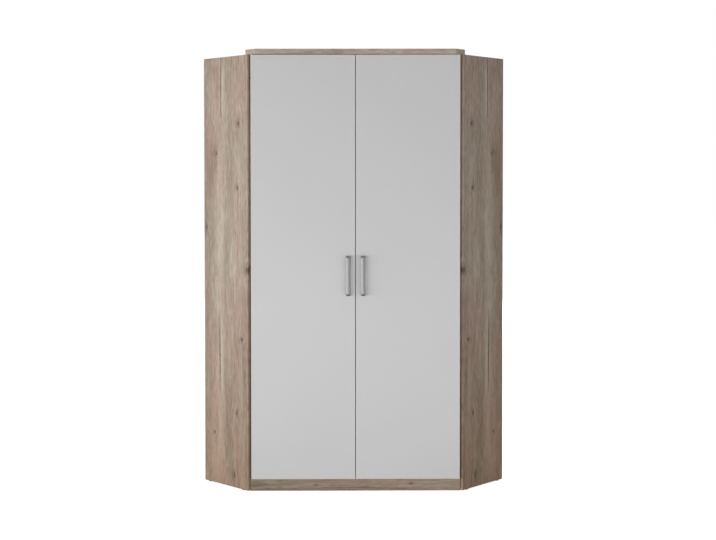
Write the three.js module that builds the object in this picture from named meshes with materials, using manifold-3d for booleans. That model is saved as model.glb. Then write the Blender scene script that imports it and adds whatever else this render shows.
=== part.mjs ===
// Five-sided corner wardrobe with two doors across its diagonal front.
// Millimetres, Z up. The origin is on the floor, under the middle of the wardrobe's box.
// The doors face -Y.
import * as THREE from "three";
import { mergeVertices } from "three/addons/utils/BufferGeometryUtils.js";
import Module from "manifold-3d";

const wasm = await Module();
wasm.setup();

// The plan: both walls meet in a right angle behind the wardrobe, and the side panels stand square to them.
const wall_length = 980; // from the room's corner to a side panel's outer face
const side_depth = 298; // a side panel's width
const total_height = 1980;
const glide_height = 2;
const fit = 0.3; // left between pieces that touch
const overrun = 2; // how far a cut runs past the face it opens

// Boards.
const board_thickness = 16;
const cornice_thickness = 22;
const cornice_clip = 44; // how far its cut corners run back
const cornice_depth = 100;
const cornice_overhang = 36; // in front of the carcass
const plinth_top = 57;
const plinth_setback = 1;
const back_thickness = 3;
const batten_width = 28;
const hat_space = 302; // between the hat shelf and the top panel, without the shelf
const shelf_setback = 40;
const door_notch_width = 42; // room at the top panel's front corners for a door edge that swings in
const door_notch_depth = 20;

// Doors.
const door_thickness = 16;
const door_outer_gap = 4; // from a door's outer edge to the side panel's inner edge
const door_centre_gap = 3;
const door_back_gap = 2;
const door_end_gap = 2; // above and below the doors

// Bow handles.
const handle_length = 178;
const handle_reach = 28;
const handle_width = 20;
const handle_thickness = 8;
const handle_bend_radius = 10;
const handle_edge_radius = 2.5;
const handle_height = 971; // of its middle
const handle_from_gap = 31.5; // from the doors' meeting line to its middle

// Clothes rail, an oval tube.
const rail_length = 800;
const rail_height = 30;
const rail_width = 15;
const rail_wall = 1.2;
const rail_drop = 42; // from the hat shelf to the rail's middle
const rail_setback = 272; // behind the carcass's front
const bracket_wall = 3;
const bracket_socket = 12;
const bracket_plate_length = 46;

// Small fittings.
const pin_radius = 2.5;
const pin_length = 17;
const pin_hole_depth = 9;
const pin_from_edge = 45;
const glide_radius = 10;
const glide_from_edge = 34;
const bumper_radius = 4;
const bumper_thickness = 1.5;
const bumper_from_middle = 60;

// Concealed corner hinge. Its pivots are given from the back corner of the door's hinge edge, x outwards
// and y to the rear. They keep both links nearly in step with the door from shut to 95 degrees open.
const hinge_from_end = 100;
const cup_radius = 17.2;
const cup_from_edge = 21.5;
const cup_depth = 11.5;
const cup_wall = 0.9;
const cup_wing_span = 54;
const cup_wing_radius = 8;
const pivot_radius = 1.2;
const long_root_x = -22.6;
const long_root_y = 11.3;
const long_tip_x = -15.5;
const long_tip_y = -2.5;
const short_root_x = -17.2;
const short_root_y = 4.2;
const short_tip_x = -16.8;
const short_tip_y = -7.8;
const link_radius = 2.5;
const link_thickness = 2;
const arm_half_width = 4.5;
const neck_radius = 3.2;
const neck_bend_x = -21.5; // where the neck turns behind the open door's edge
const neck_bend_y = 23;
const neck_crest_x = -12;
const neck_crest_y = 31;
const channel_start = 18; // along the side panel, from its front edge
const channel_length = 44;
const channel_height = 13.5;
const channel_half_width = 7.2;
const channel_wall = 1.4;
const plate_thickness = 2;
const plate_wing_span = 48;
const plate_wing_radius = 7;

// Rounding of curved outlines.
const round_segments = 24;
const small_round_segments = 8;
const arc_segments = 5;

// Sizes that follow.
const diagonal = Math.SQRT1_2;
const side_top = total_height - cornice_thickness;
const plan_depth = (wall_length + side_depth) * diagonal;
const door_front = door_back_gap + door_thickness; // in front of the carcass
const corner_y = (plan_depth + door_front + handle_reach) / 2;
const front_y = corner_y - plan_depth;
const door_back_y = front_y - door_back_gap;
const door_bottom = plinth_top + door_end_gap;
const door_top = side_top - door_end_gap;
const top_underside = side_top - board_thickness;
const bottom_underside = plinth_top - board_thickness;
const shelf_underside = top_underside - hat_space;
const shelf_top = shelf_underside + board_thickness;
const panel_inner_u = wall_length - board_thickness;
const door_outer_x = (panel_inner_u - side_depth) * diagonal - door_outer_gap;
const board_edge_u = panel_inner_u - fit;
const back_face_v = back_thickness + fit;

const oak_decor = new THREE.MeshStandardMaterial({ color: 0xa4907b, roughness: 0.6, metalness: 0 });
const white_melamine = new THREE.MeshStandardMaterial({ color: 0xcacac8, roughness: 0.4, metalness: 0 });
const hardboard = new THREE.MeshStandardMaterial({ color: 0x8a6f50, roughness: 0.8, metalness: 0 });
const batten_wood = new THREE.MeshStandardMaterial({ color: 0xc9a878, roughness: 0.7, metalness: 0 });
const satin_metal = new THREE.MeshStandardMaterial({ color: 0xb4b4b2, roughness: 0.35, metalness: 1 });
const nickel = new THREE.MeshStandardMaterial({ color: 0xb9b5ae, roughness: 0.25, metalness: 1 });
const chrome = new THREE.MeshStandardMaterial({ color: 0xd0d0d0, roughness: 0.12, metalness: 1 });
const clear_plastic = new THREE.MeshStandardMaterial({ color: 0xd8d8d4, roughness: 0.35, metalness: 0 });
const dark_plastic = new THREE.MeshStandardMaterial({ color: 0x2c2a28, roughness: 0.5, metalness: 0 });

// A closed geometry as a solid that can be joined and cut.
function solid(geometry) {
  const bare = geometry.clone();
  bare.deleteAttribute("normal");
  bare.deleteAttribute("uv");
  const merged = mergeVertices(bare);
  return new wasm.Manifold(
    new wasm.Mesh({
      numProp: 3,
      vertProperties: merged.attributes.position.array,
      triVerts: new Uint32Array(merged.index.array),
    }),
  );
}

// A solid as a geometry that a mesh can draw.
function drawn(body) {
  const mesh = body.getMesh();
  const geometry = new THREE.BufferGeometry();
  geometry.setAttribute("position", new THREE.BufferAttribute(mesh.vertProperties, 3));
  geometry.setIndex(new THREE.BufferAttribute(mesh.triVerts, 1));
  const flat = geometry.toNonIndexed();
  flat.computeVertexNormals();
  return flat;
}

function joined(...geometries) {
  return geometries.map(solid).reduce((whole, part) => whole.add(part));
}

function piece(name, geometry, material) {
  const mesh = new THREE.Mesh(geometry, material);
  mesh.name = name;
  return mesh;
}

// A box between two corners.
function box(low, high) {
  const size = high.map((value, i) => value - low[i]);
  const middle = high.map((value, i) => (value + low[i]) / 2);
  return new THREE.BoxGeometry(...size).translate(...middle);
}

// An outline raised from one height to another.
function raised(shape, low, high) {
  const options = { depth: high - low, bevelEnabled: false, curveSegments: arc_segments };
  return new THREE.ExtrudeGeometry(shape, options).translate(0, 0, low);
}

// A round bar along Z.
function bar(x, y, radius, low, high, segments = round_segments) {
  const rod = new THREE.CylinderGeometry(radius, radius, high - low, segments);
  return rod.rotateX(Math.PI / 2).translate(x, y, (low + high) / 2);
}

// An outline with round ends about two points.
function stadium(from, to, radius) {
  const angle = Math.atan2(to[1] - from[1], to[0] - from[0]);
  const shape = new THREE.Shape();
  shape.absarc(from[0], from[1], radius, angle + Math.PI / 2, angle + 1.5 * Math.PI, false);
  shape.absarc(to[0], to[1], radius, angle - Math.PI / 2, angle + Math.PI / 2, false);
  shape.closePath();
  return shape;
}

// A point of the right half of the plan: u runs along the right wall from the corner, v from that wall
// into the room.
function planPoint(u, v) {
  return [(u - v) * diagonal, corner_y - (u + v) * diagonal];
}

// Where the line y crosses a line of fixed u.
function acrossAt(u, y) {
  return [2 * u * diagonal - (corner_y - y), y];
}

// The outline of a board that fits between the side panels and the backs.
// Its rear corner is cut out round the batten, and its front corners can be notched.
function boardOutline(setback, corner_cut, notch_width, notch_depth) {
  const y = front_y + setback;
  const edge = acrossAt(board_edge_u, y + notch_depth);
  const cut = back_face_v + corner_cut;
  const right = [];
  if (notch_depth > 0) {
    right.push([edge[0] - notch_width, y], [edge[0] - notch_width, y + notch_depth]);
  }
  right.push(edge, planPoint(board_edge_u, back_face_v));
  if (corner_cut > 0) {
    right.push(planPoint(cut, back_face_v), planPoint(cut, cut));
  } else {
    right.push(planPoint(back_face_v, back_face_v));
  }
  const left = right.slice(0, -1).reverse();
  const points = [...right, ...left.map(([x, depth]) => [-x, depth])];
  return new THREE.Shape(points.map(([x, depth]) => new THREE.Vector2(x, depth)));
}

// Two pentagon boards and the hat shelf.
function boards() {
  const batten_room = batten_width + fit;
  const bottom = boardOutline(plinth_setback + board_thickness + fit, batten_room, 0, 0);
  const top = boardOutline(0, 0, door_notch_width, door_notch_depth);
  const shelf = boardOutline(shelf_setback, batten_room, 0, 0);
  return [
    piece("bottom_panel", raised(bottom, bottom_underside, plinth_top), oak_decor),
    piece("top_panel", raised(top, top_underside, side_top), oak_decor),
    piece("hat_shelf", raised(shelf, shelf_underside, shelf_top), oak_decor),
  ];
}

// The strip under the doors, screwed to the bottom panel's front edge between the side panels.
function plinthBoard() {
  const half = (panel_inner_u - side_depth) * diagonal - fit;
  const front = front_y + plinth_setback;
  const board = box([-half, front, glide_height], [half, front + board_thickness, plinth_top]);
  return piece("plinth_board", board, oak_decor);
}

// The board over the doors. Its front corners are clipped in the plane of the side panels' outer faces.
function corniceBoard() {
  const front = front_y - cornice_overhang;
  const near = acrossAt(wall_length, front);
  const far = acrossAt(wall_length, front + cornice_clip);
  const shape = new THREE.Shape();
  shape.moveTo(-near[0], near[1]);
  shape.lineTo(near[0], near[1]);
  shape.lineTo(far[0], far[1]);
  shape.lineTo(far[0], front + cornice_depth);
  shape.lineTo(-far[0], front + cornice_depth);
  shape.lineTo(-far[0], far[1]);
  shape.closePath();
  return piece("cornice_board", raised(shape, side_top, total_height), oak_decor);
}

// The batten in the room's corner, on which both backs are nailed.
function cornerBatten() {
  const near = back_face_v;
  const far = near + batten_width;
  const corners = [[near, near], [near, far], [far, far], [far, near]];
  const shape = new THREE.Shape(corners.map(([u, v]) => new THREE.Vector2(...planPoint(u, v))));
  return piece("corner_batten", raised(shape, glide_height, top_underside), batten_wood);
}

function glide(name, x, y) {
  return piece(name, bar(x, y, glide_radius, 0, glide_height), dark_plastic);
}

// A side panel with the two blind holes of its shelf pins. It stands along -Y of its wall's frame.
function sidePanel(side) {
  const panel = box([panel_inner_u, -side_depth, glide_height], [wall_length, 0, side_top]);
  const holes = pinPlaces().map((y) => pinBar(pin_radius + fit, -overrun, pin_hole_depth + fit, y));
  const body = holes.reduce((whole, hole) => whole.subtract(solid(hole)), solid(panel));
  return piece(`${side}_side_panel`, drawn(body), oak_decor);
}

function pinPlaces() {
  return [-side_depth + shelf_setback + pin_from_edge, -pin_from_edge];
}

// A bar square to the side panel, just under the hat shelf, measured outwards from the panel's inner face.
function pinBar(radius, low, high, y) {
  const rod = bar(0, 0, radius, low, high, small_round_segments).rotateY(Math.PI / 2);
  return rod.translate(panel_inner_u, y, shelf_underside - pin_radius - fit);
}

// Steel pins in the side panel that carry the hat shelf.
function shelfPins(side) {
  return pinPlaces().map((y, i) => {
    const name = `${side}_${["front", "rear"][i]}_shelf_pin`;
    return piece(name, pinBar(pin_radius, pin_hole_depth - pin_length, pin_hole_depth, y), nickel);
  });
}

// Thin hardboard on the wall side. The left one runs into the corner and the right one stops against it.
function backPanel(side) {
  const start = side === "left" ? 0 : back_face_v;
  const low = [start, -back_thickness, bottom_underside];
  return piece(`${side}_back_panel`, box(low, [board_edge_u, 0, side_top]), hardboard);
}

// A door slab with blind bores for its hinge cups.
function door(side) {
  const low = [door_centre_gap / 2, door_back_y - door_thickness, door_bottom];
  const slab = solid(box(low, [door_outer_x, door_back_y, door_top]));
  const bores = hingeHeights().map(([, z]) =>
    solid(
      bar(0, 0, cup_radius + fit, -cup_depth - fit, overrun)
        .rotateX(-Math.PI / 2)
        .translate(door_outer_x - cup_from_edge, door_back_y, z),
    ),
  );
  const body = bores.reduce((whole, bore) => whole.subtract(bore), slab);
  return piece(`${side}_door`, drawn(body), white_melamine);
}

// A bow handle: a flat bar bent back to the door at both ends, with rounded edges.
function handle(side) {
  const reach = handle_reach - handle_edge_radius;
  const half = handle_length / 2 - handle_edge_radius;
  const seat = fit + handle_edge_radius;
  const bend = handle_bend_radius - handle_edge_radius;
  const inner_reach = handle_reach - handle_thickness + handle_edge_radius;
  const inner_half = handle_length / 2 - handle_thickness + handle_edge_radius;
  const inner_bend = handle_edge_radius + fit;
  const shape = new THREE.Shape();
  shape.moveTo(seat, -half);
  shape.lineTo(reach - bend, -half);
  shape.absarc(reach - bend, -half + bend, bend, -Math.PI / 2, 0, false);
  shape.absarc(reach - bend, half - bend, bend, 0, Math.PI / 2, false);
  shape.lineTo(seat, half);
  shape.lineTo(seat, inner_half);
  shape.absarc(inner_reach - inner_bend, inner_half - inner_bend, inner_bend, Math.PI / 2, 0, true);
  shape.absarc(inner_reach - inner_bend, -inner_half + inner_bend, inner_bend, 0, -Math.PI / 2, true);
  shape.lineTo(seat, -inner_half);
  shape.closePath();
  const core_width = handle_width - 2 * handle_edge_radius;
  const bow = new THREE.ExtrudeGeometry(shape, {
    depth: core_width,
    curveSegments: arc_segments,
    bevelThickness: handle_edge_radius,
    bevelSize: handle_edge_radius,
    bevelSegments: 3,
  });
  bow.rotateX(Math.PI / 2).rotateZ(-Math.PI / 2);
  const x = door_centre_gap / 2 + handle_from_gap + core_width / 2;
  bow.translate(x, door_back_y - door_thickness, handle_height);
  return piece(`${side}_handle`, bow, satin_metal);
}

// Soft stop on the top panel's front edge, which a shut door touches.
function bumper(side) {
  const disc = bar(0, 0, bumper_radius, 0, bumper_thickness - fit, small_round_segments).rotateX(Math.PI / 2);
  disc.translate(bumper_from_middle, front_y - fit, side_top - board_thickness / 2);
  return piece(`${side}_bumper`, disc, clear_plastic);
}

function hingeHeights() {
  const lower = door_bottom + hinge_from_end;
  const upper = door_top - hinge_from_end;
  return [
    ["lower", lower],
    ["middle", (lower + upper) / 2],
    ["upper", upper],
  ];
}

// The cup in the door: a steel pot with two screw wings and a stub pin for each link.
function hingeCup(name) {
  const rim = fit + plate_thickness / 2;
  const across = (geometry) => geometry.rotateX(-Math.PI / 2).translate(-cup_from_edge, 0, 0);
  const pot = across(bar(0, 0, cup_radius, -cup_depth, rim));
  const wing_reach = cup_wing_span / 2 - cup_wing_radius;
  const wings = across(raised(stadium([0, -wing_reach], [0, wing_reach], cup_wing_radius), fit, rim));
  const room = across(bar(0, 0, cup_radius - cup_wall, cup_wall - cup_depth, overrun));
  const link_face = arm_half_width + fit;
  const long_end = -chordAt(long_tip_x);
  const short_end = chordAt(short_tip_x);
  const body = joined(pot, wings)
    .subtract(solid(room))
    .add(solid(bar(long_tip_x, long_tip_y, pivot_radius, long_end, -link_face, small_round_segments)))
    .add(solid(bar(short_tip_x, short_tip_y, pivot_radius, link_face, short_end, small_round_segments)));
  return piece(`${name}_cup`, drawn(body), nickel);
}

// Half the cup's width at a distance from its middle, to within its wall.
function chordAt(x) {
  return Math.sqrt(cup_radius ** 2 - (x + cup_from_edge) ** 2) - cup_wall / 2;
}

// A flat link with an eye at each end, on one side of the arm.
function hingeLink(name, root, tip, low) {
  const shape = stadium(root, tip, link_radius);
  for (const eye of [root, tip]) {
    const bore = new THREE.Path();
    bore.absarc(eye[0], eye[1], pivot_radius + fit, 0, 2 * Math.PI, true);
    shape.holes.push(bore);
  }
  return piece(name, raised(shape, low, low + link_thickness), nickel);
}

// From the hinge's frame to the side panel's: x along the panel from its front edge, y into the wardrobe.
function onPanel(geometry) {
  const [x, y] = panelCorner();
  return geometry.rotateZ(Math.PI / 4).translate(x, y, 0);
}

function panelCorner() {
  const [x, y] = planPoint(panel_inner_u, side_depth);
  return [x - door_outer_x, y - door_back_y];
}

function panelPoint(along, off) {
  const [x, y] = panelCorner();
  return [x + (along - off) * diagonal, y + (along + off) * diagonal];
}

// The arm: a channel over its mounting plate and a neck that bends round the open door's edge to both pivots.
function hingeArm(name) {
  const nose = [
    [short_root_x, short_root_y],
    [long_root_x, long_root_y],
    [neck_bend_x, neck_bend_y],
    [neck_crest_x, neck_crest_y],
    panelPoint(channel_start + neck_radius, channel_height - neck_radius),
  ];
  const radii = [link_radius, neck_radius, neck_radius, neck_radius];
  const neck = radii.map((radius, i) =>
    raised(stadium(nose[i], nose[i + 1], radius), -arm_half_width, arm_half_width),
  );
  const channel_end = channel_start + channel_length;
  const inner = channel_half_width - channel_wall;
  const lip = plate_thickness + 2 * fit;
  const channel = onPanel(
    box([channel_start, lip, -channel_half_width], [channel_end, channel_height, channel_half_width]),
  );
  const slot_start = channel_start + channel_wall;
  const slot_top = channel_height - channel_wall;
  const slot = onPanel(box([slot_start, 0, -inner], [channel_end + overrun, slot_top, inner]));
  const reach = arm_half_width + link_thickness + 2 * fit;
  const body = joined(channel, ...neck)
    .subtract(solid(slot))
    .add(solid(bar(long_root_x, long_root_y, pivot_radius, -reach, 0, small_round_segments)))
    .add(solid(bar(short_root_x, short_root_y, pivot_radius, 0, reach, small_round_segments)));
  return piece(`${name}_arm`, drawn(body), nickel);
}

// The mounting plate: a cross-shaped foot on the side panel with a block that the channel slides over.
function hingePlate(name) {
  const block_half = channel_half_width - channel_wall - fit;
  const block_start = channel_start + channel_wall + fit;
  const middle = channel_start + channel_length / 2;
  const wing_reach = plate_wing_span / 2 - plate_wing_radius;
  const cross = stadium([middle, -wing_reach], [middle, wing_reach], plate_wing_radius);
  // The wings are drawn flat and stood up against the panel.
  const wings = raised(cross, fit, plate_thickness).rotateX(-Math.PI / 2);
  const foot = box(
    [channel_start, fit, -channel_half_width],
    [channel_start + channel_length, plate_thickness, channel_half_width],
  );
  const block = box(
    [block_start, fit, -block_half],
    [channel_start + channel_length, channel_height - channel_wall - fit, block_half],
  );
  return piece(`${name}_plate`, drawn(joined(onPanel(wings), onPanel(foot), onPanel(block))), nickel);
}

// One hinge at its height, in a frame whose origin is the back corner of the door's hinge edge.
function hinge(side, [level, z]) {
  const name = `${side}_${level}_hinge`;
  const frame = new THREE.Group();
  const gap = arm_half_width + fit;
  const long_root = [long_root_x, long_root_y];
  const long_tip = [long_tip_x, long_tip_y];
  const short_root = [short_root_x, short_root_y];
  const short_tip = [short_tip_x, short_tip_y];
  frame.position.set(door_outer_x, door_back_y, z);
  frame.add(
    hingePlate(name),
    hingeArm(name),
    hingeCup(name),
    hingeLink(`${name}_long_link`, long_root, long_tip, -gap - link_thickness),
    hingeLink(`${name}_short_link`, short_root, short_tip, gap),
  );
  return frame;
}

// One end of the rail's fixing: a plate under the hat shelf, a web down from it and a blind oval socket.
function railBracket(side) {
  const socket_height = rail_height + 2 * bracket_wall;
  const socket_width = rail_width + 2 * bracket_wall;
  const outer = ovalBar(socket_height, socket_width, 0, bracket_socket + bracket_wall);
  const bore = ovalBar(rail_height + 2 * fit, rail_width + 2 * fit, -overrun, bracket_socket);
  const half = socket_width / 2;
  const top = rail_drop - fit;
  const web = box([bracket_socket, -half, 0], [bracket_socket + bracket_wall, half, top]);
  const plate_low = [bracket_socket - bracket_plate_length / 2, -half, top - bracket_wall];
  const plate = box(plate_low, [bracket_socket + bracket_plate_length / 2, half, top]);
  const body = joined(outer, web, plate).subtract(solid(bore));
  const mesh = piece(`${side}_rail_bracket`, drawn(body), chrome);
  mesh.position.set(rail_length / 2 - bracket_socket + fit, railY(), railZ());
  return mesh;
}

function railY() {
  return front_y + rail_setback;
}

function railZ() {
  return shelf_underside - rail_drop;
}

// An upright oval outline.
function oval(height, width, shape) {
  const radius = width / 2;
  const straight = height / 2 - radius;
  shape.absarc(0, straight, radius, 0, Math.PI, false);
  shape.absarc(0, -straight, radius, Math.PI, 2 * Math.PI, false);
  shape.closePath();
  return shape;
}

// An oval bar along X between two places.
function ovalBar(height, width, low, high, hole) {
  const shape = oval(height, width, new THREE.Shape());
  if (hole) {
    shape.holes.push(hole);
  }
  return raised(shape, low, high).rotateX(Math.PI / 2).rotateZ(Math.PI / 2);
}

function clothesRail() {
  const inner = oval(rail_height - 2 * rail_wall, rail_width - 2 * rail_wall, new THREE.Path());
  const half = rail_length / 2;
  const tube = ovalBar(rail_height, rail_width, -half, half, inner);
  return piece("clothes_rail", tube.translate(0, railY(), railZ()), chrome);
}

// What one half of the wardrobe holds, drawn for the right half. The left half is its mirror image.
function halfOf(side) {
  const half = new THREE.Group();
  const wall = new THREE.Group();
  wall.position.y = corner_y;
  wall.rotation.z = -Math.PI / 4;
  const glide_x = wall_length - board_thickness / 2;
  wall.add(
    sidePanel(side),
    backPanel(side),
    ...shelfPins(side),
    glide(`${side}_front_glide`, glide_x, -side_depth + glide_from_edge),
    glide(`${side}_rear_glide`, glide_x, -glide_from_edge),
  );
  half.add(wall, door(side), handle(side), bumper(side), railBracket(side));
  half.add(...hingeHeights().map((place) => hinge(side, place)));
  half.scale.x = side === "left" ? -1 : 1;
  return half;
}

const wardrobe = new THREE.Group();
wardrobe.name = "corner_wardrobe";
const batten_middle = planPoint(back_face_v + batten_width / 2, back_face_v + batten_width / 2);
wardrobe.add(
  ...boards(),
  plinthBoard(),
  corniceBoard(),
  cornerBatten(),
  clothesRail(),
  glide("corner_glide", ...batten_middle),
  halfOf("right"),
  halfOf("left"),
);

export default wardrobe;
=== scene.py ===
"""Corner wardrobe with white doors and greyed oak decor, dressed in the order in which it is put together."""
import bpy
import bmesh
import math
from mathutils import Matrix, Vector


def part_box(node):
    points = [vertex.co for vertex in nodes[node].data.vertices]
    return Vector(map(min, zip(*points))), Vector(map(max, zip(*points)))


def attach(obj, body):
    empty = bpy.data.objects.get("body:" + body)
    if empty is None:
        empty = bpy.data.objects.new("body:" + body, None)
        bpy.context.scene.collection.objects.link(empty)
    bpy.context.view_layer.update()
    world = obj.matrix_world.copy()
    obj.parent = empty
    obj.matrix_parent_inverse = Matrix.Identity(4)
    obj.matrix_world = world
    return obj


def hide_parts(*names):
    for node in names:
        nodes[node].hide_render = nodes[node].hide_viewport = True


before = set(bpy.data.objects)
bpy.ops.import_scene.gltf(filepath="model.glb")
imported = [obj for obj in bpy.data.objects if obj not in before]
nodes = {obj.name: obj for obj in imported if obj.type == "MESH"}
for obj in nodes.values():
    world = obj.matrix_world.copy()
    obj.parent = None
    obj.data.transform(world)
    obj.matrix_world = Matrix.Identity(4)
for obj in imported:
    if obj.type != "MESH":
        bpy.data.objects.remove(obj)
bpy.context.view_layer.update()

sides = (("left", -1), ("right", 1))


# Camera: it stands 5.9 m from the front, a little to the left and at chest height, with level shoulders.
# Its shift moves the wardrobe up and to the left in the frame, as in the photograph.
camera_place = Vector((-0.1957, -5.8531, 1.4020))
camera_yaw, camera_pitch, camera_roll = -0.0053, -0.0253, 0.0011
focal_pixels = 1213.83
image_width = 716
shift_pixels = (40, -60)
sensor_width = 36

bpy.ops.object.select_all(action="DESELECT")
bpy.ops.object.camera_add()
camera = bpy.context.object
camera.name = "camera"
camera.data.sensor_width = sensor_width
camera.data.lens = focal_pixels * sensor_width / image_width
camera.data.shift_x = shift_pixels[0] / image_width
camera.data.shift_y = shift_pixels[1] / image_width
camera.data.clip_end = 100
camera.matrix_world = (
    Matrix.Translation(camera_place)
    @ Matrix.Rotation(camera_yaw, 4, "Z")
    @ Matrix.Rotation(camera_pitch, 4, "X")
    @ Matrix.Rotation(camera_roll, 4, "Y")
    @ Matrix.Rotation(math.pi / 2, 4, "X")
)
bpy.context.scene.camera = camera


# Side panels: 16 mm chipboard with a melamine print of greyed, knotty oak. The same print lies on both,
# mirrored, with its grain upright. It is flat and satin, its pores are pressed in a little, and the glued
# edge bands are eased by half a millimetre.
def linear(hex_colour):
    """An sRGB colour as the linear values that a shader takes."""
    values = [int(hex_colour[i:i + 2], 16) / 255 for i in (1, 3, 5)]
    return [v / 12.92 if v <= 0.04045 else ((v + 0.055) / 1.055) ** 2.4 for v in values] + [1]


def add_node(tree, kind, settings, links=()):
    """A shader node with its settings, sockets among them, and its (socket, source) links."""
    node = tree.nodes.new("ShaderNode" + kind)
    for name, value in settings.items():
        if isinstance(name, str) and hasattr(node, name):
            setattr(node, name, value)
        else:
            node.inputs[name].default_value = value
    for socket, source in links:
        tree.links.new(source, node.inputs[socket])
    return node


def new_material(name):
    """A new material, its tree and its principled shader."""
    material = bpy.data.materials.new(name)
    material.use_nodes = True
    tree = material.node_tree
    return material, tree, tree.nodes["Principled BSDF"]


def dress(node_name, material):
    """Gives a CAD node a material in all its slots."""
    for slot in nodes[node_name].material_slots:
        slot.material = material


def ease_edges(node_name, radius):
    """Rounds a board's square edges by a radius in metres, with modifiers that leave its mesh alone."""
    board = nodes[node_name]
    weld = board.modifiers.new("joined_faces", "WELD")
    weld.merge_threshold = 0.00002
    eased = board.modifiers.new("eased_edges", "BEVEL")
    eased.width = radius
    eased.segments = 2
    eased.limit_method = "ANGLE"
    eased.angle_limit = math.radians(60)


# Marks of the print on a side panel: across from the front edge and up from the floor, then half width
# and half height, all in millimetres. Patches also have how much they lighten or darken the print.
side_knots = [
    (57, 1653, 7, 9), (208, 1521, 6, 8), (65, 1363, 6, 11), (281, 1182, 8, 14), (4, 996, 8, 15),
    (37, 680, 9, 9), (72, 343, 6, 9), (224, 237, 5, 6), (89, 57, 5, 15),
]
side_cracks = [
    (178, 1815, 3.6, 165), (189, 605, 3.8, 190), (62, 1290, 2.4, 70), (206, 1440, 2.0, 50),
    (96, 860, 1.6, 90),
]
side_patches = [
    (285, 1000, 70, 1500, -0.128), (186, 1040, 34, 1300, 0.104), (161, 1806, 15, 190, 0.128),
    (112, 1500, 36, 300, -0.104), (128, 230, 34, 260, -0.128), (12, 620, 30, 700, -0.08),
    (188, 1090, 26, 150, 0.112), (172, 610, 12, 230, 0.16), (60, 1480, 26, 180, 0.056),
    (80, 60, 60, 90, -0.056), (240, 1500, 50, 120, -0.064), (90, 1000, 40, 160, 0.048),
    (50, 330, 40, 140, 0.048),
]


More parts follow.
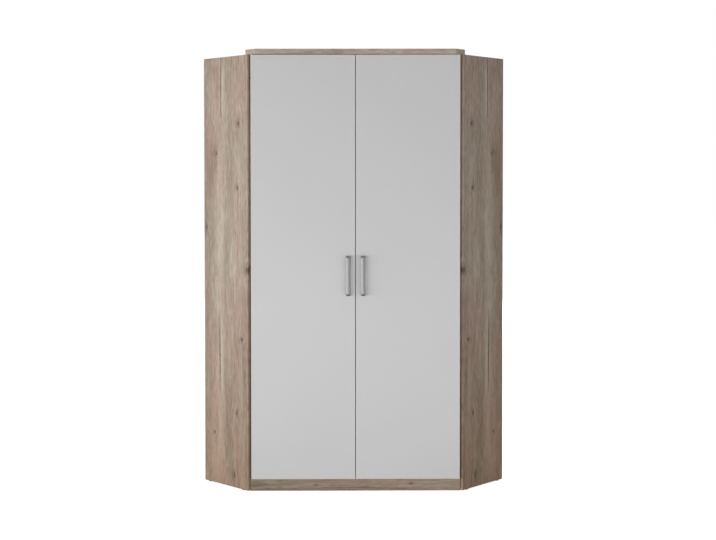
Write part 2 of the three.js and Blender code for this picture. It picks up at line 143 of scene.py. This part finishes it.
def decor_print(name, scale, turn, place, knots, cracks, patches, tones, painted_shade_span, painted_edge_light=None):
    """Greyed oak print, mapped in millimetres across (x and y) and along (z) the grain."""
    material, tree, shader = new_material(name)
    coords = add_node(tree, "TexCoord", {})
    mapped = add_node(tree, "Mapping", {"Scale": scale, "Rotation": turn, "Location": place},
                      [("Vector", coords.outputs["Object"])])
    parts = add_node(tree, "SeparateXYZ", {}, [("Vector", mapped.outputs[0])])
    across = add_node(tree, "Math", {"operation": "ADD"},
                      [(0, parts.outputs["X"]), (1, parts.outputs["Y"])])
    along = parts.outputs["Z"]
    flat = add_node(tree, "CombineXYZ", {}, [("X", across.outputs[0]), ("Z", along)])

    def noise(source, size, detail, shift=(0, 0, 0), rough=0.5):
        """Noise stretched to a size in millimetres across and along the grain."""
        stretch = {"operation": "MULTIPLY_ADD", 1: (1 / size[0], 1, 1 / size[1]), 2: shift}
        sized = add_node(tree, "VectorMath", stretch, [(0, source)])
        made = add_node(tree, "TexNoise", {"Scale": 1.0, "Detail": detail, "Roughness": rough},
                        [("Vector", sized.outputs[0])])
        return made.outputs[0]

    def offset_from(source, mark):
        """How far a point lies from a mark's middle, across and along the grain."""
        away = add_node(tree, "VectorMath", {"operation": "SUBTRACT", 1: (mark[0], 0, mark[1])},
                        [(0, source)])
        return away.outputs[0]

    def ellipse(source, mark):
        """Squared distance from a mark's middle, 1 at its edge."""
        half_u, half_v = mark[2:4]
        sized = add_node(tree, "VectorMath", {"operation": "MULTIPLY", 1: (1 / half_u, 0, 1 / half_v)},
                         [(0, offset_from(source, mark))])
        squared = add_node(tree, "VectorMath", {"operation": "DOT_PRODUCT"},
                           [(0, sized.outputs[0]), (1, sized.outputs[0])])
        return squared.outputs["Value"]

    def spread(squared, inner, outer, amount):
        """An amount inside a mark that falls to nothing at its edge."""
        edges = {"From Min": inner, "From Max": outer, "To Min": amount, "To Max": 0.0}
        ranged = add_node(tree, "MapRange", {**edges, "interpolation_type": "SMOOTHSTEP"},
                          [("Value", squared)])
        return ranged.outputs[0]

    def mix(amount, before, colour, how="MIX"):
        """One colour laid over what was there before."""
        mixed = add_node(tree, "Mix", {"data_type": "RGBA", "blend_type": how, 7: colour},
                         [(0, amount), (6, before)])
        return mixed.outputs[2]

    def shaken(reach, wave):
        """The place across the grain, moved by a noise up to half a reach to either side."""
        moved = add_node(tree, "Math", {"operation": "MULTIPLY_ADD", 1: reach, 2: -reach / 2}, [(0, wave)])
        return add_node(tree, "Math", {"operation": "ADD"}, [(0, across.outputs[0]), (1, moved.outputs[0])])

    # The grain sways slowly, and parts round each knot.
    bent = shaken(34, noise(flat.outputs[0], (170, 620), 2))
    for u, v, half_u, half_v in knots:
        swirl = (u, v, half_u * 4.5, half_v * 6.5)
        minus = add_node(tree, "Math", {"operation": "MULTIPLY", 1: -1},
                         [(0, ellipse(flat.outputs[0], swirl))])
        near = add_node(tree, "Math", {"operation": "EXPONENT"}, [(0, minus.outputs[0])])
        offset = add_node(tree, "SeparateXYZ", {}, [("Vector", offset_from(flat.outputs[0], swirl))])
        pulled = add_node(tree, "Math", {"operation": "MULTIPLY"},
                          [(0, near.outputs[0]), (1, offset.outputs["X"])])
        bent = add_node(tree, "Math", {"operation": "MULTIPLY_ADD", 1: -0.85},
                        [(0, pulled.outputs[0]), (2, bent.outputs[0])])
    grain = add_node(tree, "CombineXYZ", {}, [("X", bent.outputs[0]), ("Z", along)]).outputs[0]

    # The print's lightness: blocks and bands some centimetres wide, then streaks, growth lines 5 mm apart
    # and fibres, each noise with its width and length, detail, shift, roughness and share.
    layers = (
        ((230, 330), 2, (2.3, 5, 1.7), 0.5, 0.22),
        ((58, 560), 2, (9, 2, 4), 0.5, 0.26),
        ((19, 190), 3, (5, 3, 9), 0.55, 0.52),
        ((7.5, 60), 3, (17, 1, 4), 0.6, 0.66),
        ((2.1, 30), 2, (3, 8, 2), 0.6, 0.5),
    )
    shares = sum(layer[4] for layer in layers)
    tone = add_node(tree, "Math", {"operation": "ADD", 0: 0.5 - shares / 2, 1: 0.0})
    for size, detail, shift, rough, share in layers:
        layer = noise(grain, size, detail, shift, rough)
        tone = add_node(tree, "Math", {"operation": "MULTIPLY_ADD", 1: share},
                        [(0, layer), (2, tone.outputs[0])])

    # Paler and darker patches with ragged edges, and a shade round each knot.
    ragged = shaken(44, noise(flat.outputs[0], (90, 150), 4, (4, 4, 4), 0.6))
    loose = add_node(tree, "CombineXYZ", {}, [("X", ragged.outputs[0]), ("Z", along)]).outputs[0]
    shades = [(u + half_u, v, half_u * 4, half_v * 3, -0.12) for u, v, half_u, half_v in knots]
    for mark in patches + shades:
        tone = add_node(tree, "Math", {"operation": "ADD"},
                        [(0, tone.outputs[0]), (1, spread(ellipse(loose, mark), 0.0, 1.0, mark[4]))])

    ramp = add_node(tree, "ValToRGB", {}, [(0, tone.outputs[0])])
    stops = ramp.color_ramp.elements
    stops[0].color, stops[1].color = linear(tones[0]), linear(tones[-1])
    for place_on_ramp, tone_hex in zip((0.28, 0.5, 0.74), tones[1:-1]):
        stops.new(place_on_ramp).color = linear(tone_hex)

    # Rosy and grey-green areas run through it.
    hue = add_node(tree, "MapRange", {"From Min": 0.4, "From Max": 0.6, "interpolation_type": "SMOOTHSTEP"},
                   [("Value", noise(grain, (85, 430), 3, (31, 7, 3)))])
    tint = add_node(tree, "Mix", {"data_type": "RGBA", 6: linear("#fff8f5"), 7: linear("#f8fcf6")},
                    [(0, hue.outputs[0])])
    tinted = add_node(tree, "Mix", {"data_type": "RGBA", "blend_type": "MULTIPLY", 0: 1.0},
                      [(6, ramp.outputs[0]), (7, tint.outputs[2])])
    colour = tinted.outputs[2]

    # Short dark flecks 2 mm wide, and pores 0.6 mm wide and 12 mm long.
    flecks = add_node(tree, "MapRange", {"From Min": 0.63, "From Max": 0.74, "To Max": 0.55},
                      [("Value", noise(grain, (2.4, 46), 2, (12, 5, 8)))])
    colour = mix(flecks.outputs[0], colour, linear(tones[0]))
    pores = add_node(tree, "MapRange", {"From Min": 0.62, "From Max": 0.72, "To Max": 0.35},
                     [("Value", noise(grain, (0.6, 12), 1, (2, 9, 5)))])
    colour = mix(pores.outputs[0], colour, linear(tones[0]))

    # Cracks with a pale lip, and the knots with their dark hearts.
    uneven = shaken(13, noise(flat.outputs[0], (26, 34), 4, (8, 1, 6), 0.65))
    rough = add_node(tree, "CombineXYZ", {}, [("X", uneven.outputs[0]), ("Z", along)]).outputs[0]
    for u, v, half_u, half_v in cracks:
        lip = ellipse(rough, (u - half_u * 2.4, v, half_u * 2.2, half_v * 0.9))
        colour = mix(spread(lip, 0.1, 1.0, 0.4), colour, linear(tones[-1]))
        crack = ellipse(rough, (u, v, half_u, half_v))
        colour = mix(spread(crack, 0.2, 1.4, 0.92), colour, linear("#574b41"))
    for u, v, half_u, half_v in knots:
        halo = ellipse(rough, (u - half_u * 1.5, v, half_u * 2.0, half_v * 2.2))
        colour = mix(spread(halo, 0.0, 1.0, 0.35), colour, linear(tones[-2]))
        ring = ellipse(rough, (u, v, half_u * 1.7, half_v * 1.7))
        colour = mix(spread(ring, 0.1, 1.0, 0.55), colour, linear(tones[0]))
        heart = ellipse(rough, (u, v, half_u, half_v))
        colour = mix(spread(heart, 0.0, 1.0, 0.85), colour, linear("#54463a"))

    # Painted shade: the print is darkened and warmed towards its lower end.
    painted_shade_range = {"From Min": painted_shade_span[0], "From Max": painted_shade_span[1], "To Min": 1.0, "To Max": 0.0}
    lower = add_node(tree, "MapRange", painted_shade_range, [("Value", along)])
    colour = mix(lower.outputs[0], colour, linear("#ede3d6"), "MULTIPLY")
    # Painted light: the panel's front edge face, shaded in the gap beside the doors, is lightened.
    if painted_edge_light:
        painted_light_mask = add_node(tree, "MapRange", {"From Min": 0.4, "From Max": 0.9, "To Min": 1.0, "To Max": 0.0},
                        [("Value", parts.outputs["X"])])
        colour = mix(painted_light_mask.outputs[0], colour, painted_edge_light, "MULTIPLY")
    tree.links.new(colour, shader.inputs["Base Color"])
    gloss = add_node(tree, "MapRange", {"To Min": 0.66, "To Max": 0.54}, [("Value", tone.outputs[0])])
    tree.links.new(gloss.outputs[0], shader.inputs["Roughness"])
    bump = add_node(tree, "Bump", {"Strength": 0.25, "Distance": 0.0002, "invert": True},
                    [("Height", pores.outputs[0])])
    tree.links.new(bump.outputs[0], shader.inputs["Normal"])
    shader.inputs["IOR"].default_value = 1.5
    return material


decor_tones = ("#66554a", "#887668", "#a49386", "#b9ab9d", "#cbbfb2")
painted_edge_light = (1.6, 1.55, 1.5, 1)  # painted light: lightens the front edge, which lies in shade in the gap beside the doors
panel_across = 37.76  # from the frame's middle to the panel's front edge, along the panel
panel_face = 643.0  # from the frame's middle to just inside the panel's outer face, square to it
band_radius = 0.0005
for side, sign in sides:
    decor = decor_print(
        f"oak_melamine_{side}", (1000 * sign, 1000, 1000), (0, 0, -math.pi / 4),
        (-panel_across, panel_face, 0),
        side_knots, side_cracks, side_patches, decor_tones, (60, 1000), painted_edge_light,
    )
    dress(f"{side}_side_panel", decor)
    ease_edges(f"{side}_side_panel", band_radius)


# Plinth and cornice: strips of the same board with the grain lying down. The plinth stands under the doors,
# and its print is darkened as painted shade from the doors above it; the cornice is screwed down on the top
# panel with its front corners cut off.
in_millimetres = (1000, 1000, 1000)
grain_lies = (0, math.pi / 2, 0)
strip_place = (0, 429, 0)
no_painted_shade = (-3000, -2900)  # far below the board
# Painted shade: darker tones that stand in for the shade under the doors.
plinth_shade_tones = ("#58493e", "#786859", "#948271", "#a69585", "#b7a898")
plinth_decor = decor_print(
    "oak_melamine_plinth", in_millimetres, grain_lies, strip_place,
    [(33, -250, 3, 8), (28, 180, 3, 7)], [(14, 60, 1.4, 330), (46, -320, 1.2, 90)],
    # Painted shadow: a darker band along the plinth's foot and a dark spot at its upper left end, under the
    # door's corner.
    [(8, 0, 12, 900, -0.16), (40, 440, 22, 60, -0.2)], plinth_shade_tones, no_painted_shade,
)
cornice_tones = ("#6a594e", "#8e7e72", "#ad9c8e", "#c1b3a5", "#d2c7ba")
cornice_decor = decor_print(
    "oak_melamine_cornice", in_millimetres, grain_lies, strip_place,
    [(1970, -330, 3, 9)], [(1966, 140, 1.2, 150)], [(1974, -60, 8, 260, 0.1)], cornice_tones, no_painted_shade,
)
dress("plinth_board", plinth_decor)
dress("cornice_board", cornice_decor)
ease_edges("plinth_board", band_radius)
ease_edges("cornice_board", 0.0008)


# Bottom, top and hat shelf: five-sided boards between the side panels, in the same decor, grain from side
# to side.
inner_decor = decor_print(
    "oak_melamine_inside", in_millimetres, grain_lies, (0, 0, 0),
    [(60, -240, 9, 16), (-180, 310, 8, 12), (210, 40, 7, 12)], [(-60, 120, 2.5, 160)],
    [(20, -120, 40, 300, 0.12)], decor_tones, no_painted_shade,
)
for board in ("bottom_panel", "top_panel", "hat_shelf"):
    dress(board, inner_decor)
    ease_edges(board, band_radius)


# Backs and corner batten: 3 mm hardboard, hot-pressed from brown fibre, nailed on a planed softwood batten
# and on the boards' rear edges. Its rough wall side is speckled with lighter and darker fibres, and its
# smooth inner side is lacquered in a greyed beige.
wall_corner = 474.84  # where both walls meet, behind the middle
half_root = math.sqrt(0.5)


def fibre_board(name, outward):
    material, tree, shader = new_material(name)
    coords = add_node(tree, "TexCoord", {})
    fibres = add_node(tree, "TexNoise", {"Scale": 320, "Detail": 5, "Roughness": 0.7},
                      [("Vector", coords.outputs["Object"])])
    clouds = add_node(tree, "TexNoise", {"Scale": 5, "Detail": 3}, [("Vector", coords.outputs["Object"])])
    cloudy = add_node(tree, "Math", {"operation": "MULTIPLY", 1: 0.35}, [(0, clouds.outputs[0])])
    mixed = add_node(tree, "Math", {"operation": "MULTIPLY_ADD", 1: 0.9},
                     [(0, fibres.outputs[0]), (2, cloudy.outputs[0])])
    colour = add_node(tree, "MapRange", {"From Min": 0.38, "From Max": 0.86}, [("Value", mixed.outputs[0])])
    tone = add_node(tree, "Mix", {"data_type": "RGBA", 6: linear("#73583e"), 7: linear("#a5865f")},
                    [(0, colour.outputs[0])])
    depth = add_node(tree, "VectorMath", {"operation": "DOT_PRODUCT", 1: outward},
                     [(0, coords.outputs["Object"])])
    wall_plane = wall_corner * half_root / 1000
    inner = add_node(tree, "MapRange", {"From Min": wall_plane - 0.002, "From Max": wall_plane - 0.0025},
                     [("Value", depth.outputs["Value"])])
    lacquer = add_node(tree, "Mix", {"data_type": "RGBA", 6: linear("#b0a698"), 7: linear("#bdb4a7")},
                       [(0, mixed.outputs[0])])
    face = add_node(tree, "Mix", {"data_type": "RGBA"},
                    [(0, inner.outputs[0]), (6, tone.outputs[2]), (7, lacquer.outputs[2])])
    tree.links.new(face.outputs[2], shader.inputs["Base Color"])
    gloss = add_node(tree, "MapRange", {"To Min": 0.8, "To Max": 0.5}, [("Value", inner.outputs[0])])
    tree.links.new(gloss.outputs[0], shader.inputs["Roughness"])
    bump = add_node(tree, "Bump", {"Strength": 0.4, "Distance": 0.0003}, [("Height", fibres.outputs[0])])
    tree.links.new(bump.outputs[0], shader.inputs["Normal"])
    return material


def planed_softwood():
    material, tree, shader = new_material("planed_spruce")
    coords = add_node(tree, "TexCoord", {})
    long = add_node(tree, "Mapping", {"Scale": (260, 260, 3)}, [("Vector", coords.outputs["Object"])])
    rings = add_node(tree, "TexNoise", {"Scale": 1.0, "Detail": 4, "Distortion": 0.4},
                     [("Vector", long.outputs[0])])
    tone = add_node(tree, "Mix", {"data_type": "RGBA", 6: linear("#cdb996"), 7: linear("#ab906a")},
                    [(0, rings.outputs[0])])
    tree.links.new(tone.outputs[2], shader.inputs["Base Color"])
    shader.inputs["Roughness"].default_value = 0.65
    return material


def plated(name, tone, rough, grain):
    """Bright plating: metal with faint drawn lines and small changes of gloss."""
    material, tree, shader = new_material(name)
    shader.inputs["Metallic"].default_value = 1
    coords = add_node(tree, "TexCoord", {})
    drawn = add_node(tree, "Mapping", {"Scale": grain}, [("Vector", coords.outputs["Object"])])
    lines = add_node(tree, "TexNoise", {"Scale": 1.0, "Detail": 3}, [("Vector", drawn.outputs[0])])
    bright = linear(tone)
    dull = [value * 0.86 for value in bright[:3]] + [1]
    colour = add_node(tree, "Mix", {"data_type": "RGBA", 6: dull, 7: bright}, [(0, lines.outputs[0])])
    tree.links.new(colour.outputs[2], shader.inputs["Base Color"])
    gloss = add_node(tree, "MapRange", {"To Min": rough * 0.8, "To Max": rough * 1.25},
                     [("Value", lines.outputs[0])])
    tree.links.new(gloss.outputs[0], shader.inputs["Roughness"])
    return material


def choose_faces(wanted):
    """In edit mode, selects the faces whose middle passes a test, and nothing else."""
    bpy.ops.mesh.select_mode(type="FACE")
    bpy.ops.mesh.select_all(action="DESELECT")
    shape = bmesh.from_edit_mesh(bpy.context.object.data)
    for face in shape.faces:
        middle = sum((corner.co for corner in face.verts), Vector()) / len(face.verts)
        face.select_set(wanted(middle))
    bmesh.update_edit_mesh(bpy.context.object.data)


def facing(place, direction):
    """Where a fastener goes: its seat, in metres, and the way its head looks."""
    turn = Vector(direction).to_track_quat("Z", "Y").to_matrix().to_4x4()
    return Matrix.Translation(place) @ turn


def fasten(template, places, name, body, material):
    """Copies a small fastener to each place, as one piece that rides on a body."""
    bpy.ops.object.select_all(action="DESELECT")
    for place in places:
        copy = bpy.data.objects.new(name, template.data.copy())
        copy.data.transform(place)
        bpy.context.collection.objects.link(copy)
        copy.select_set(True)
        bpy.context.view_layer.objects.active = copy
    bpy.ops.object.join()
    piece = bpy.context.object
    piece.name = name
    piece.data.materials.clear()
    piece.data.materials.append(material)
    bpy.ops.object.shade_smooth_by_angle(angle=math.radians(35))
    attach(piece, body)


def flat_nail():
    """The head of a 20 mm panel nail, 6 mm wide and a little domed."""
    bpy.ops.object.select_all(action="DESELECT")
    bpy.ops.mesh.primitive_cylinder_add(vertices=12, radius=0.003, depth=0.0009, location=(0, 0, 0.00045))
    bpy.ops.object.transform_apply(location=True)
    bpy.ops.object.mode_set(mode="EDIT")
    choose_faces(lambda middle: middle.z > 0.00089)
    bpy.ops.mesh.inset(thickness=0.0009)
    bpy.ops.transform.translate(value=(0, 0, 0.0003))
    bpy.ops.object.mode_set(mode="OBJECT")
    return bpy.context.object


bright_steel = plated("bright_wire_nail", "#a9a7a3", 0.3, (700, 700, 700))
dress("corner_batten", planed_softwood())
nail = flat_nail()
board_heights = (49, 1648, 1950)  # bottom panel, hat shelf and top panel
batten_line = 18  # from the room's corner
for side, sign in sides:
    outward = (sign * half_root, half_root, 0)
    dress(f"{side}_back_panel", fibre_board(f"{side}_hardboard", outward))
    rows = [(along, height) for height in board_heights for along in range(60, 961, 150)]
    rows += [(batten_line, height) for height in range(200, 1601, 200)]
    wall_nails = [
        facing((sign * along * half_root / 1000, (wall_corner - along * half_root) / 1000, height / 1000),
               outward)
        for along, height in rows
    ]
    fasten(nail, wall_nails, f"{side}_back_nails", "carcass", bright_steel)
bpy.data.objects.remove(nail)


# Clothes rail, its brackets and the shelf pins: steel tube and pressed fittings, chromed or nickelled.
# Each bracket is held up to the hat shelf by two cross-recess screws.
def recess_screw():
    """The head of a chipboard screw, 6.6 mm wide, with its cross recess. Its axis is Z."""
    bpy.ops.object.select_all(action="DESELECT")
    bpy.ops.mesh.primitive_cylinder_add(vertices=20, radius=0.0033, depth=0.0009, location=(0, 0, 0.00045))
    bpy.ops.object.transform_apply(location=True)
    bpy.ops.object.mode_set(mode="EDIT")
    choose_faces(lambda middle: middle.z > 0.00089)
    bpy.ops.mesh.inset(thickness=0.0008)
    bpy.ops.transform.translate(value=(0, 0, 0.00035))
    bpy.ops.object.mode_set(mode="OBJECT")
    head = bpy.context.object
    for turn in (0, math.pi / 2):
        bpy.ops.object.select_all(action="DESELECT")
        bpy.ops.mesh.primitive_cube_add(size=1, location=(0, 0, 0.0012), rotation=(0, 0, turn))
        bar = bpy.context.object
        bar.scale = (0.0040, 0.0010, 0.0016)
        bpy.ops.object.transform_apply(location=True, rotation=True, scale=True)
        bpy.ops.object.mode_set(mode="EDIT")
        choose_faces(lambda middle: middle.z < 0.0005)
        bpy.ops.transform.resize(value=(0.6, 0.6, 1), center_override=(0, 0, 0.0004))
        bpy.ops.object.mode_set(mode="OBJECT")
        cut = head.modifiers.new("recess", "BOOLEAN")
        cut.operation, cut.solver, cut.object = "DIFFERENCE", "EXACT", bar
        bpy.context.view_layer.objects.active = head
        bpy.ops.object.modifier_apply(modifier="recess")
        bpy.data.objects.remove(bar)
    return head


chromed_steel = plated("chromed_steel", "#dcdcdc", 0.12, (20, 900, 900))
nickelled_steel = plated("nickelled_steel", "#c9c5bd", 0.24, (500, 500, 500))
zinc_plated = plated("zinc_plated_screw", "#b9bcc0", 0.28, (900, 900, 900))
screw = recess_screw()
dress("clothes_rail", chromed_steel)
bracket_plate = 0.003
screw_inset = 0.007
for side, sign in sides:
    dress(f"{side}_rail_bracket", chromed_steel)
    for place in ("front", "rear"):
        dress(f"{side}_{place}_shelf_pin", nickelled_steel)
    low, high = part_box(f"{side}_rail_bracket")
    middle_y = (low[1] + high[1]) / 2
    seat = high[2] - bracket_plate
    ends = (low[0] + screw_inset, high[0] - screw_inset)
    places = [facing((x, middle_y, seat), (0, 0, -1)) for x in ends]
    fasten(screw, places, f"{side}_rail_bracket_screws", "carcass", zinc_plated)


# Doors: 16 mm chipboard slabs with a plain white melamine face and 1 mm white edge bands, rounded over by
# the edge bander. The face has the faint unevenness of pressed melamine and a soft sheen.
def white_melamine():
    material, tree, shader = new_material("white_melamine")
    coords = add_node(tree, "TexCoord", {})
    clouds = add_node(tree, "TexNoise", {"Scale": 2.2, "Detail": 2}, [("Vector", coords.outputs["Object"])])
    tone = add_node(tree, "Mix", {"data_type": "RGBA", 6: linear("#c6c6c6"), 7: linear("#cacaca")},
                    [(0, clouds.outputs[0])])
    tree.links.new(tone.outputs[2], shader.inputs["Base Color"])
    peel = add_node(tree, "TexNoise", {"Scale": 420, "Detail": 2}, [("Vector", coords.outputs["Object"])])
    bump = add_node(tree, "Bump", {"Strength": 0.05, "Distance": 0.0002}, [("Height", peel.outputs[0])])
    tree.links.new(bump.outputs[0], shader.inputs["Normal"])
    shader.inputs["Roughness"].default_value = 0.42
    shader.inputs["IOR"].default_value = 1.5
    return material


door_white = white_melamine()
for side, sign in sides:
    dress(f"{side}_door", door_white)
    ease_edges(f"{side}_door", 0.001)


# Bow handles: a crowned bar of die-cast metal, slightly waisted and bent back to the door at both ends,
# satin nickel plated and lightly brushed along its length. Each is held by two screws through the door.
def satin_nickel():
    material, tree, shader = new_material("satin_nickel")
    shader.inputs["Metallic"].default_value = 1
    coords = add_node(tree, "TexCoord", {})
    brushed = add_node(tree, "Mapping", {"Scale": (1800, 1800, 30)}, [("Vector", coords.outputs["Object"])])
    lines = add_node(tree, "TexNoise", {"Scale": 1.0, "Detail": 2}, [("Vector", brushed.outputs[0])])
    tone = add_node(tree, "Mix", {"data_type": "RGBA", 6: linear("#787877"), 7: linear("#8b8b8a")},
                    [(0, lines.outputs[0])])
    tree.links.new(tone.outputs[2], shader.inputs["Base Color"])
    gloss = add_node(tree, "MapRange", {"To Min": 0.38, "To Max": 0.5}, [("Value", lines.outputs[0])])
    tree.links.new(gloss.outputs[0], shader.inputs["Roughness"])
    return material


handle_low, handle_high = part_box("right_handle")
handle_x = (handle_low[0] + handle_high[0]) / 2
half_width = (handle_high[0] - handle_low[0]) / 2
half_thick = 0.004
bend = 0.006  # the bend's radius, to the middle of the bar
grip_y = handle_low[1] + half_thick
foot_y = handle_high[1]
lower_z = handle_low[2] + half_thick
upper_z = handle_high[2] - half_thick
leg = foot_y - grip_y - bend

bpy.ops.object.select_all(action="DESELECT")
bpy.ops.mesh.primitive_circle_add(
    vertices=28, radius=1, fill_type="NGON",
    location=(handle_x, foot_y, lower_z), rotation=(math.pi / 2, 0, 0))
handle = bpy.context.object
handle.scale = (half_width, half_thick, 1)
bpy.ops.object.transform_apply(location=True, rotation=True, scale=True)
bpy.ops.object.mode_set(mode="EDIT")
bpy.ops.mesh.select_mode(type="FACE")
bpy.ops.mesh.select_all(action="SELECT")
bpy.ops.mesh.extrude_region_move(TRANSFORM_OT_translate={"value": (0, -leg, 0)})
bpy.ops.mesh.spin(
    steps=7, angle=math.pi / 2, center=(handle_x, grip_y + bend, lower_z + bend), axis=(1, 0, 0))
grip = upper_z - lower_z - 2 * bend
reached, width = 0, 1
for share, wanted_width in ((0.08, 1), (0.2, 0.95), (0.5, 0.91), (0.8, 0.95), (0.92, 1), (1, 1)):
    bpy.ops.mesh.extrude_region_move(TRANSFORM_OT_translate={"value": (0, 0, (share - reached) * grip)})
    bpy.ops.transform.resize(value=(wanted_width / width, 1, 1), center_override=(handle_x, grip_y, 0))
    reached, width = share, wanted_width
bpy.ops.mesh.spin(
    steps=7, angle=math.pi / 2, center=(handle_x, grip_y + bend, upper_z - bend), axis=(1, 0, 0))
bpy.ops.mesh.extrude_region_move(TRANSFORM_OT_translate={"value": (0, leg, 0)})
bpy.ops.mesh.select_all(action="SELECT")
bpy.ops.mesh.remove_doubles(threshold=0.00001)
bpy.ops.mesh.normals_make_consistent(inside=False)
bpy.ops.object.mode_set(mode="OBJECT")
bpy.ops.object.shade_smooth_by_angle(angle=math.radians(40))

handle_metal = satin_nickel()
door_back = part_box("right_door")[1][1]
for side, sign in sides:
    bow = bpy.data.objects.new(f"{side}_bow_handle", handle.data.copy())
    bow.data.transform(Matrix.Translation((sign * handle_x - handle_x, 0, 0)))
    bow.data.materials.append(handle_metal)
    bpy.context.collection.objects.link(bow)
    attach(bow, f"{side}_door")
    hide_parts(f"{side}_handle")
    places = [facing((sign * handle_x, door_back, z), (0, 1, 0)) for z in (lower_z, upper_z)]
    fasten(screw, places, f"{side}_handle_screws", f"{side}_door", zinc_plated)
bpy.data.objects.remove(handle)


# Corner hinges: pressed and nickel-plated steel cups, links, arms and mounting plates. Two screws hold each
# cup in its bore. The screws of the plates and arms start from panel_corner, which lies 8 mm too far out and
# 8 mm too far forward, so their heads are hidden in the panel and the hinge.
plate_middle = 0.040  # along the side panel from its front edge
plate_reach = 0.017  # from the hinge's middle to a plate screw
cup_reach = 0.019  # from the cup's middle to a cup screw
arm_screws = (0.030, 0.052)  # along the side panel
arm_height = 0.0135  # the arm's and the plate's faces, above the side panel
plate_height = 0.002
# x of the right side panel's inner front corner, y of its outer one
panel_corner = Vector((0.47093, -0.42884))
for side, sign in sides:
    along = Vector((sign * half_root, half_root, 0))
    into = Vector((-sign * half_root, half_root, 0))
    front_edge = Vector((sign * panel_corner.x, panel_corner.y, 0))
    for level in ("lower", "middle", "upper"):
        hinge = f"{side}_{level}_hinge"
        for part in ("plate", "arm", "cup", "long_link", "short_link"):
            dress(f"{hinge}_{part}", nickelled_steel)
        low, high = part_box(f"{hinge}_cup")
        height = Vector((0, 0, (low[2] + high[2]) / 2))
        cup_middle = Vector(((low[0] + high[0]) / 2, high[1], height.z))
        offset = Vector((0, 0, cup_reach))
        places = [facing(cup_middle - offset, (0, 1, 0)), facing(cup_middle + offset, (0, 1, 0))]
        fasten(screw, places, f"{hinge}_cup_screws", f"{side}_door", zinc_plated)
        foot = front_edge + height + along * plate_middle + into * plate_height
        offset = Vector((0, 0, plate_reach))
        places = [facing(foot - offset, into), facing(foot + offset, into)]
        arm_face = front_edge + height + into * arm_height
        places += [facing(arm_face + along * reach, into) for reach in arm_screws]
        fasten(screw, places, f"{hinge}_arm_screws", "carcass", zinc_plated)
bpy.data.objects.remove(screw)


# Bumpers and glides: small moulded plastic pieces.
def moulded_plastic(name, tone, rough):
    material, tree, shader = new_material(name)
    coords = add_node(tree, "TexCoord", {})
    grit = add_node(tree, "TexNoise", {"Scale": 900, "Detail": 2}, [("Vector", coords.outputs["Object"])])
    light = linear(tone)
    shade = [value * 0.9 for value in light[:3]] + [1]
    colour = add_node(tree, "Mix", {"data_type": "RGBA", 6: shade, 7: light}, [(0, grit.outputs[0])])
    tree.links.new(colour.outputs[2], shader.inputs["Base Color"])
    shader.inputs["Roughness"].default_value = rough
    bump = add_node(tree, "Bump", {"Strength": 0.2, "Distance": 0.0002}, [("Height", grit.outputs[0])])
    tree.links.new(bump.outputs[0], shader.inputs["Normal"])
    return material


soft_plastic = moulded_plastic("clear_polyurethane", "#d8d8d4", 0.3)
glide_plastic = moulded_plastic("polyethylene", "#2c2a28", 0.5)
dress("corner_glide", glide_plastic)
for side, sign in sides:
    dress(f"{side}_bumper", soft_plastic)
    dress(f"{side}_front_glide", glide_plastic)
    dress(f"{side}_rear_glide", glide_plastic)


# Studio: a white floor that keeps the wardrobe's shadow, a white world, a very wide soft lamp to the left,
# a low one in front and one behind. The world lights the shaded side faintly.
bpy.ops.object.select_all(action="DESELECT")
bpy.ops.mesh.primitive_plane_add(size=60, location=(0, 0, 0))
floor = bpy.context.object
floor.name = "floor"
material, tree, shader = new_material("white_floor")
shader.inputs["Base Color"].default_value = linear("#f0f0f0")
shader.inputs["Roughness"].default_value = 0.9
path = add_node(tree, "LightPath", {})
seen = add_node(tree, "Math", {"operation": "MULTIPLY", 1: 0.8}, [(0, path.outputs["Is Camera Ray"])])
shader.inputs["Emission Color"].default_value = (1, 1, 1, 1)
tree.links.new(seen.outputs[0], shader.inputs["Emission Strength"])
floor.data.materials.append(material)

world = bpy.data.worlds.new("white_room")
bpy.context.scene.world = world
world.use_nodes = True
tree = world.node_tree
path = add_node(tree, "LightPath", {})
either = add_node(tree, "Math", {"operation": "MAXIMUM"},
                  [(0, path.outputs["Is Camera Ray"]), (1, path.outputs["Is Glossy Ray"])])
any_view = add_node(tree, "Math", {"operation": "MAXIMUM"},
                    [(0, either.outputs[0]), (1, path.outputs["Is Transmission Ray"])])
strength = add_node(tree, "MapRange", {"To Min": 0.26, "To Max": 1.0}, [("Value", any_view.outputs[0])])
tree.nodes["Background"].inputs["Color"].default_value = (1, 1, 1, 1)
tree.links.new(strength.outputs[0], tree.nodes["Background"].inputs["Strength"])


def soft_lamp(name, azimuth, distance, height, size, power, aim):
    """An oblong area lamp turned to a point. Azimuth 0 is straight in front, positive to the right."""
    bpy.ops.object.light_add(type="AREA")
    lamp = bpy.context.object
    lamp.name = name
    angle = math.radians(azimuth)
    lamp.location = (distance * math.sin(angle), -distance * math.cos(angle), height)
    lamp.rotation_euler = (Vector(aim) - lamp.location).to_track_quat("-Z", "Y").to_euler()
    lamp.data.shape = "RECTANGLE"
    lamp.data.size, lamp.data.size_y = size
    lamp.data.energy = power
    lamp.visible_camera = False


soft_lamp("key_lamp", -56, 7.5, 0.65, (11, 1.2), 380, (0, -0.3, 0.6))
soft_lamp("front_lamp", 6, 3.6, 0.3, (7, 0.5), 46, (0, -0.43, 0.6))
soft_lamp("rear_lamp", 180, 8.0, 2.4, (7, 3), 240, (0, 0.2, 1.0))

bpy.context.scene.view_settings.view_transform = "Standard"
